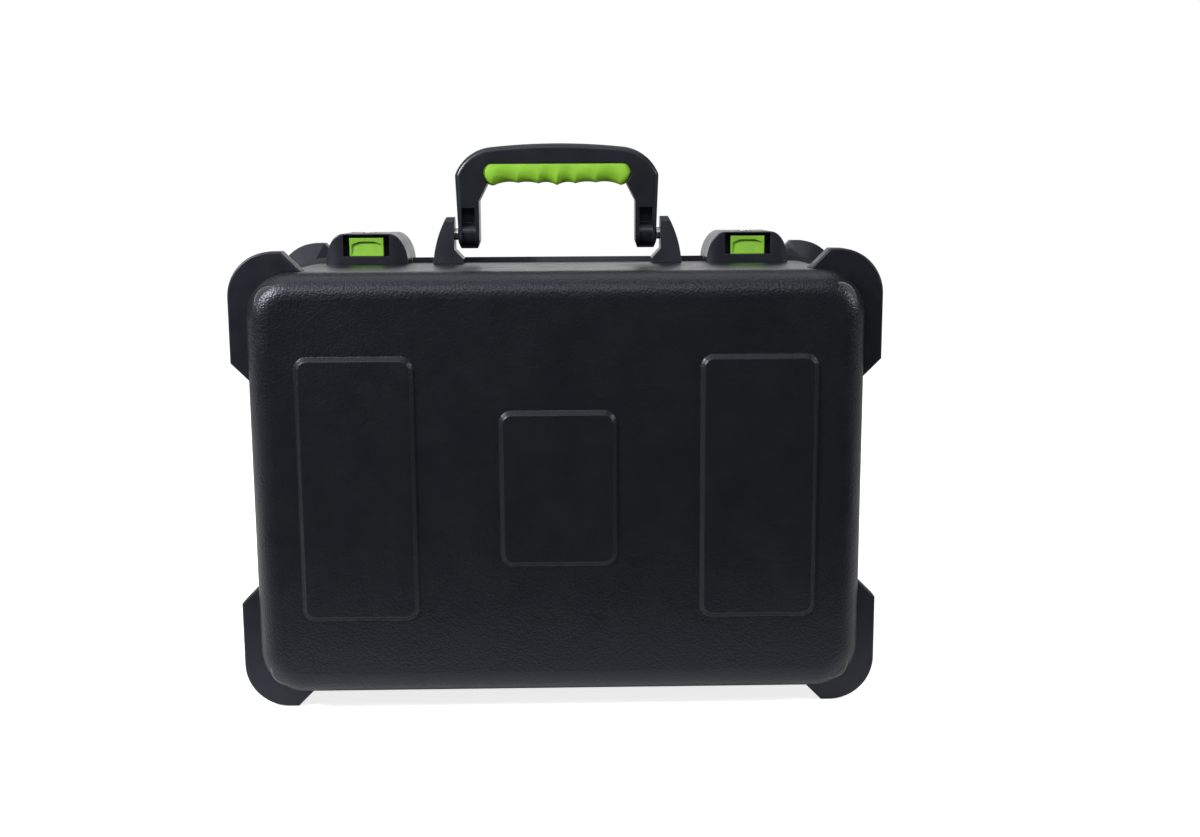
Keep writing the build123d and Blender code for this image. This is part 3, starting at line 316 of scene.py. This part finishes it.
FOAM_SOFTNESS = 1.6 * MM
DROP_COLUMNS = 5
DROP_ROWS = 3
DROP_SIZE = 48 * MM
DROP_RADIUS = 8 * MM
DROP_PITCH_X = 74 * MM
DROP_PITCH_Z = 64 * MM
BAY_HEIGHT = 56 * MM
BAY_GAP = 18 * MM
FOAM_EDGE_RADIUS = 10 * MM
PEAK_PITCH = 31 * MM
PEAK_HEIGHT = 13 * MM
PEAK_ROUNDNESS = 0.8
CRATE_STEP = 2.6 * MM
CRATE_FLAT_EDGE = 5 * MM
CRATE_EDGE_DROP = 3 * MM
CRATE_WOBBLE = 0.5 * MM
CRATE_WOBBLE_SIZE = 14 * MM


def rounded_rectangle(x, z, width, height, radius, steps=6):
    """Points round a rectangle with round corners, in the X-Z plane."""
    points = []
    for turn, (sign_x, sign_z) in enumerate(((1, 1), (-1, 1), (-1, -1), (1, -1))):
        centre = (x + sign_x * (width / 2 - radius), z + sign_z * (height / 2 - radius))
        for step in range(steps + 1):
            angle = math.radians(90 * turn + 90 * step / steps)
            points.append((centre[0] + radius * math.cos(angle), centre[1] + radius * math.sin(angle)))
    return points


def foam_slab(name, outlines, low_y, high_y):
    """A slab between two depths with these outlines, the first its edge and the rest its holes."""
    curve = bpy.data.curves.new(name, "CURVE")
    curve.dimensions = "2D"
    curve.fill_mode = "BOTH"
    curve.extrude = (high_y - low_y) / 2 - FOAM_SOFTNESS
    curve.bevel_depth = FOAM_SOFTNESS
    curve.bevel_resolution = 3
    for points in outlines:
        spline = curve.splines.new("POLY")
        spline.points.add(len(points) - 1)
        for target, (x, z) in zip(spline.points, points):
            target.co = (x, z, 0, 1)
        spline.use_cyclic_u = True
    flat = bpy.data.objects.new(name + "_outline", curve)
    mesh = bpy.data.meshes.new_from_object(flat)
    bpy.data.objects.remove(flat)
    mesh.name = name
    turn = Matrix(((1, 0, 0, 0), (0, 0, -1, (low_y + high_y) / 2), (0, 1, 0, 0), (0, 0, 0, 1)))
    mesh.transform(turn)
    return mesh


def add_piece(name, mesh, body, slot, replaced):
    """A piece on a body, with its slot's material, that stands for these CAD nodes."""
    piece = bpy.data.objects.new(name, mesh)
    bpy.context.scene.collection.objects.link(piece)
    for polygon in mesh.polygons:
        polygon.use_smooth = True
    dress(piece, slot)
    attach(piece, body)
    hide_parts(*replaced)
    return piece


def finished(name, built):
    """The mesh of what was built, with its faces turned outwards."""
    bmesh.ops.recalc_face_normals(built, faces=built.faces)
    mesh = bpy.data.meshes.new(name)
    built.to_mesh(mesh)
    built.free()
    return mesh


def foam_edge(node):
    """The outline of a foam solid, taken in by its rounded edge."""
    low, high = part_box(node)
    inset = FOAM_SOFTNESS
    width, height = high.x - low.x - 2 * inset, high.z - low.z - 2 * inset
    return rounded_rectangle((low.x + high.x) / 2, (low.z + high.z) / 2, width, height, FOAM_EDGE_RADIUS)


def make_foam_block():
    low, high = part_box("base_foam_block")
    grow = 2 * FOAM_SOFTNESS
    total = DROP_ROWS * DROP_PITCH_Z - (DROP_PITCH_Z - DROP_SIZE) + BAY_GAP + BAY_HEIGHT
    first_z = (low.z + high.z) / 2 - total / 2 + DROP_SIZE / 2
    outlines = [foam_edge("base_foam_block")]
    for column in range(DROP_COLUMNS):
        for row in range(DROP_ROWS):
            x = (column - (DROP_COLUMNS - 1) / 2) * DROP_PITCH_X
            z = first_z + row * DROP_PITCH_Z
            side = DROP_SIZE + grow
            outlines.append(rounded_rectangle(x, z, side, side, DROP_RADIUS + grow / 2))
    width = (DROP_COLUMNS - 1) * DROP_PITCH_X + DROP_SIZE
    z = (low.z + high.z) / 2 + total / 2 - BAY_HEIGHT / 2
    outlines.append(rounded_rectangle(0, z, width + grow, BAY_HEIGHT + grow, DROP_RADIUS + grow / 2))
    mesh = foam_slab("foam_insert", outlines, low.y, high.y)
    return add_piece("foam_insert", mesh, "base", "foam", ["base_foam_block"])


def make_floor_pad():
    low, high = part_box("base_foam_floor")
    mesh = foam_slab("foam_pad", [foam_edge("base_foam_floor")], low.y, high.y)
    return add_piece("foam_pad", mesh, "base", "foam", ["base_foam_floor"])


def make_egg_crate():
    """The lid's convoluted pad: rows of rounded peaks and hollows, fading to a flat edge."""
    low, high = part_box("lid_foam")
    wide, tall = high.x - low.x, high.z - low.z
    middle_x, middle_z = (low.x + high.x) / 2, (low.z + high.z) / 2
    columns = int(wide / CRATE_STEP)
    rows = int(tall / CRATE_STEP)
    built = bmesh.new()
    front, back = [], []
    for row in range(rows + 1):
        for column in range(columns + 1):
            x = low.x + wide * column / columns
            z = low.z + tall * row / rows
            corner_x = max(0, abs(x - middle_x) - (wide / 2 - FOAM_EDGE_RADIUS))
            corner_z = max(0, abs(z - middle_z) - (tall / 2 - FOAM_EDGE_RADIUS))
            reach = math.hypot(corner_x, corner_z)
            if reach > FOAM_EDGE_RADIUS:
                x -= math.copysign(corner_x * (1 - FOAM_EDGE_RADIUS / reach), x)
                z -= math.copysign(corner_z * (1 - FOAM_EDGE_RADIUS / reach), z - middle_z)
            corner = FOAM_EDGE_RADIUS - min(reach, FOAM_EDGE_RADIUS)
            edge = min(x - low.x, high.x - x, z - low.z, high.z - z, corner)
            crest = math.sin(math.pi * x / PEAK_PITCH) * math.sin(math.pi * (z - low.z) / PEAK_PITCH)
            crest = 0.5 + 0.5 * math.copysign(abs(crest) ** PEAK_ROUNDNESS, crest)
            fade = min(1.0, max(0.0, edge / CRATE_FLAT_EDGE))
            depth = PEAK_HEIGHT * (1 - crest) * fade + (1 - fade) ** 2 * CRATE_EDGE_DROP
            wobble = CRATE_WOBBLE * noise.noise(Vector((x, 0, z)) / CRATE_WOBBLE_SIZE) * fade
            front.append(built.verts.new((x, low.y + depth + abs(wobble), z)))
            back.append(built.verts.new((x, high.y, z)))
    stride = columns + 1
    for row in range(rows):
        for column in range(columns):
            a = row * stride + column
            quad = (a, a + 1, a + stride + 1, a + stride)
            built.faces.new([front[n] for n in quad])
            built.faces.new([back[n] for n in reversed(quad)])
    rim = list(range(stride)) + [r * stride + columns for r in range(1, rows + 1)]
    rim += [rows * stride + n for n in range(columns - 1, -1, -1)]
    rim += [r * stride for r in range(rows - 1, 0, -1)]
    for a, b in zip(rim, rim[1:] + rim[:1]):
        built.faces.new((front[b], front[a], back[a], back[b]))
    return add_piece("foam_egg_crate", finished("foam_egg_crate", built), "lid", "foam", ["lid_foam"])


for cushion in (make_foam_block(), make_floor_pad(), make_egg_crate()):
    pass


# The finger grip: a soft sleeve whose finger hollows run round its front and back edges

GRIP_RIDGES = ((0.0, 2.9), (14.3, 1.6), (30.0, 1.0), (49.0, 3.0))
GRIP_HOLLOWS = (1.6, 1.0, 1.6)
GRIP_UNDERSIDE = 3.0
GRIP_CORNER = 6.5
GRIP_STEP = 0.75
GRIP_WALL = 4.0
GRIP_BRIDGE = 5.0
GRIP_BRIDGE_SHARE = 0.6
GRIP_TOP_EDGE = 0.7
GRIP_END_TAPER = 1.2
GRIP_END_GAP = 0.2
ROUND_TALL = 0.50
ROUND_TALL_IN_HOLLOW = 0.38
ROUND_DEEP = 0.50
ROUND_DEEP_IN_HOLLOW = 0.30
ROUND_STEPS = 8


def grip_underside(x):
    """How far the underside hangs below the straight line of the grip, and how hollow it is here."""
    for (start, first), (end, last), hollow in zip(GRIP_RIDGES, GRIP_RIDGES[1:], GRIP_HOLLOWS):
        if x <= end:
            share = (x - start) / (end - start)
            dip = 1 - (2 * share - 1) ** 2
            return first + (last - first) * share - hollow * dip, dip * hollow / max(GRIP_HOLLOWS)
    return GRIP_RIDGES[-1][1], 0.0


def grip_section(x, half_length, half_depth, top, foot):
    """Points of one slice in millimetres: a sleeve open upwards, round where the fingers close."""
    hang, hollow = grip_underside(abs(x))
    middle = (top + foot) / 2
    past = max(0.0, abs(x) - (half_length - GRIP_CORNER)) / GRIP_CORNER
    roof = middle + (top - middle) * math.sqrt(max(0.0, 1 - past ** 2))
    past_lobe = max(0.0, abs(x) - GRIP_RIDGES[-1][0]) / (half_length - GRIP_RIDGES[-1][0])
    low = middle - (middle - foot + hang) * math.sqrt(max(0.0, 1 - past_lobe ** 2))
    depth = half_depth - GRIP_END_TAPER * past ** 2
    tall = roof - low
    round_z = tall * (ROUND_TALL + ROUND_TALL_IN_HOLLOW * hollow)
    round_y = depth * (ROUND_DEEP + ROUND_DEEP_IN_HOLLOW * hollow)
    edge = min(GRIP_TOP_EDGE, tall / 4)
    front = [(depth - edge, roof), (depth - 0.3 * edge, roof - 0.3 * edge), (depth, roof - edge)]
    for step in range(ROUND_STEPS + 1):
        angle = math.radians(90 * step / ROUND_STEPS)
        front.append((depth - round_y * (1 - math.cos(angle)), low + round_z * (1 - math.sin(angle))))
    inner = depth - GRIP_WALL
    bridge = min(roof, low + min(GRIP_BRIDGE, GRIP_BRIDGE_SHARE * tall))
    sleeve = [(-y, z) for y, z in front] + [(y, z) for y, z in reversed(front)]
    return sleeve + [(inner, roof), (inner, bridge), (-inner, bridge), (-inner, roof)]


def make_grip():
    """Slices along the grip, joined into one closed sleeve."""
    low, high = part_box("handle_grip")
    middle_y = (low.y + high.y) / 2 / MM
    half_length = (high.x - low.x) / 2 / MM
    half_depth = (high.y - low.y) / 2 / MM
    top = high.z / MM
    foot = low.z / MM + GRIP_UNDERSIDE
    reach = half_length - GRIP_END_GAP
    count = int(2 * reach / GRIP_STEP)
    built = bmesh.new()
    rings = []
    for number in range(count + 1):
        x = -reach + 2 * reach * number / count
        section = grip_section(x, half_length, half_depth, top, foot)
        rings.append([built.verts.new((x * MM, (middle_y + y) * MM, z * MM)) for y, z in section])
    for first, second in zip(rings, rings[1:]):
        for a, b, c, d in zip(first, first[1:] + first[:1], second[1:] + second[:1], second):
            built.faces.new((a, b, c, d))
    built.faces.new(reversed(rings[0]))
    built.faces.new(rings[-1])
    add_piece("grip_sleeve", finished("grip_sleeve", built), "handle", "grip_green", ["handle_grip"])


make_grip()


# The button springs, copied onto the base


def make_spring(side):
    """A copy of the coil, carried by the base in place of its CAD node."""
    node = f"latch_spring_{side}"
    coil = add_piece(f"coil_{side}", NODES[node].data.copy(), "base", "steel", [node])
    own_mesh(coil)


for side in SIDES:
    make_spring(side)


# Camera, lamps and surroundings. A lamp has a place, what it is aimed at, a size and its watts

LAMPS = {
    "lamp_key": ((-0.35, -1.25, 1.45), (0, 0, 0.25), (2.0, 0.4), 11),
    "lamp_top": ((-0.1, 0.1, 1.7), (-0.1, 0, 0), (2.0, 1.2), 11),
    "lamp_left": ((-1.45, -0.95, 1.25), (-0.1, 0, 0.25), (0.22, 0.3), 42),
    "lamp_right": ((1.6, -0.6, 0.9), (0.1, 0, 0.25), (0.3, 0.4), 9),
}
ROOM_ON_SURFACES = 0.3
ROOM_IN_MIRRORS = (("From Min", 0.72), ("From Max", 1.02), ("To Min", 0.05), ("To Max", 1.4))
FLOOR_HALF = 6.0
FLOOR_GLOW = 0.8
FLOOR_COLOUR = (0.8, 0.8, 0.8, 1)
FLOOR_DARK = (0.02, 0.02, 0.02, 1)
FLOOR_DARK_BEFORE = -0.34
FLOOR_PALE_FROM = -0.13
FLOOR_GAP = 0.0002


def make_camera():
    cos_p = math.cos(CAMERA_PITCH)
    forward = Vector((math.sin(CAMERA_YAW) * cos_p, math.cos(CAMERA_YAW) * cos_p, -math.sin(CAMERA_PITCH)))
    level = Vector((math.cos(CAMERA_YAW), -math.sin(CAMERA_YAW), 0))
    upright = level.cross(forward)
    right = level * math.cos(CAMERA_ROLL) + upright * math.sin(CAMERA_ROLL)
    up = upright * math.cos(CAMERA_ROLL) - level * math.sin(CAMERA_ROLL)
    data = bpy.data.cameras.new("camera")
    data.sensor_fit = "HORIZONTAL"
    data.sensor_width = CAMERA_SENSOR
    data.lens = CAMERA_LENS
    camera = bpy.data.objects.new("camera", data)
    turn = Matrix((right, up, -forward)).transposed().to_4x4()
    camera.matrix_world = Matrix.Translation(CAMERA_PLACE) @ turn
    bpy.context.scene.collection.objects.link(camera)
    bpy.context.scene.camera = camera


def area_lamp(name, place, aim, size, watts):
    data = bpy.data.lights.new(name, "AREA")
    data.shape = "RECTANGLE"
    data.size, data.size_y = size
    data.energy = watts
    lamp = bpy.data.objects.new(name, data)
    lamp.location = place
    lamp.rotation_mode = "QUATERNION"
    lamp.rotation_quaternion = (Vector(aim) - Vector(place)).to_track_quat("-Z", "Y")
    bpy.context.scene.collection.objects.link(lamp)


def make_lamps():
    for name, (place, aim, size, watts) in LAMPS.items():
        area_lamp(name, place, aim, size, watts)


def seen_directly(tree):
    """One for rays from the camera, also through glass, and zero for light on surfaces."""
    path = tree.nodes.new("ShaderNodeLightPath")
    first = tree.nodes.new("ShaderNodeMath")
    first.operation = "MAXIMUM"
    tree.links.new(path.outputs["Is Camera Ray"], first.inputs[0])
    tree.links.new(path.outputs["Is Transmission Ray"], first.inputs[1])
    return path, first.outputs[0]


def make_world():
    """White to the camera. Glossy surfaces see a room that is bright behind the case and dark before it."""
    world = bpy.data.worlds.new("room")
    bpy.context.scene.world = world
    world.use_nodes = True
    tree = world.node_tree
    background = tree.nodes["Background"]
    path, seen = seen_directly(tree)
    direction = tree.nodes.new("ShaderNodeTexCoord").outputs["Generated"]
    split = tree.nodes.new("ShaderNodeSeparateXYZ")
    tree.links.new(direction, split.inputs[0])
    room = tree.nodes.new("ShaderNodeMapRange")
    room.interpolation_type = "SMOOTHSTEP"
    for key, value in ROOM_IN_MIRRORS:
        room.inputs[key].default_value = value
    tree.links.new(split.outputs["Y"], room.inputs["Value"])
    mirrored = tree.nodes.new("ShaderNodeMix")
    tree.links.new(path.outputs["Is Glossy Ray"], mirrored.inputs["Factor"])
    mirrored.inputs[2].default_value = ROOM_ON_SURFACES
    tree.links.new(room.outputs[0], mirrored.inputs[3])
    strength = tree.nodes.new("ShaderNodeMix")
    tree.links.new(seen, strength.inputs["Factor"])
    tree.links.new(mirrored.outputs[0], strength.inputs[2])
    strength.inputs[3].default_value = 1.0
    background.inputs["Color"].default_value = (1, 1, 1, 1)
    tree.links.new(strength.outputs[0], background.inputs["Strength"])


def make_floor():
    """A pale floor, white to the camera where it's lit, that keeps the object's shadow."""
    mesh = bpy.data.meshes.new("floor")
    corners = [(x * FLOOR_HALF, y * FLOOR_HALF, 0) for x, y in ((-1, -1), (1, -1), (1, 1), (-1, 1))]
    mesh.from_pydata(corners, [], [(0, 1, 2, 3)])
    floor = bpy.data.objects.new("floor", mesh)
    bpy.context.scene.collection.objects.link(floor)
    nodes = Nodes("floor_paper")
    nodes.surface(Base_Color=FLOOR_COLOUR, Roughness=0.9, Specular_IOR_Level=0.0)
    path, seen = seen_directly(nodes.tree)
    nodes.surface(Emission_Color=(1, 1, 1, 1), Emission_Strength=nodes.maths("MULTIPLY", seen, FLOOR_GLOW))
    split = nodes.add("ShaderNodeSeparateXYZ")
    nodes.tree.links.new(nodes.place, split.inputs[0])
    before = nodes.ramp(split.outputs["Y"], FLOOR_DARK_BEFORE, FLOOR_PALE_FROM, 1.0, 0.0)
    dim = nodes.add("ShaderNodeMixShader")
    dark = nodes.add("ShaderNodeBsdfDiffuse")
    dark.inputs["Color"].default_value = FLOOR_DARK
    nodes.tree.links.new(nodes.maths("MULTIPLY", before, path.outputs["Is Glossy Ray"]), dim.inputs[0])
    nodes.tree.links.new(nodes.shader.outputs[0], dim.inputs[1])
    nodes.tree.links.new(dark.outputs[0], dim.inputs[2])
    output = next(node for node in nodes.tree.nodes if node.type == "OUTPUT_MATERIAL")
    nodes.tree.links.new(dim.outputs[0], output.inputs["Surface"])
    mesh.materials.append(nodes.material)
    floor.location.z = -FLOOR_GAP


make_camera()
make_lamps()
make_world()
make_floor()
bpy.context.scene.view_settings.view_transform = "Standard"
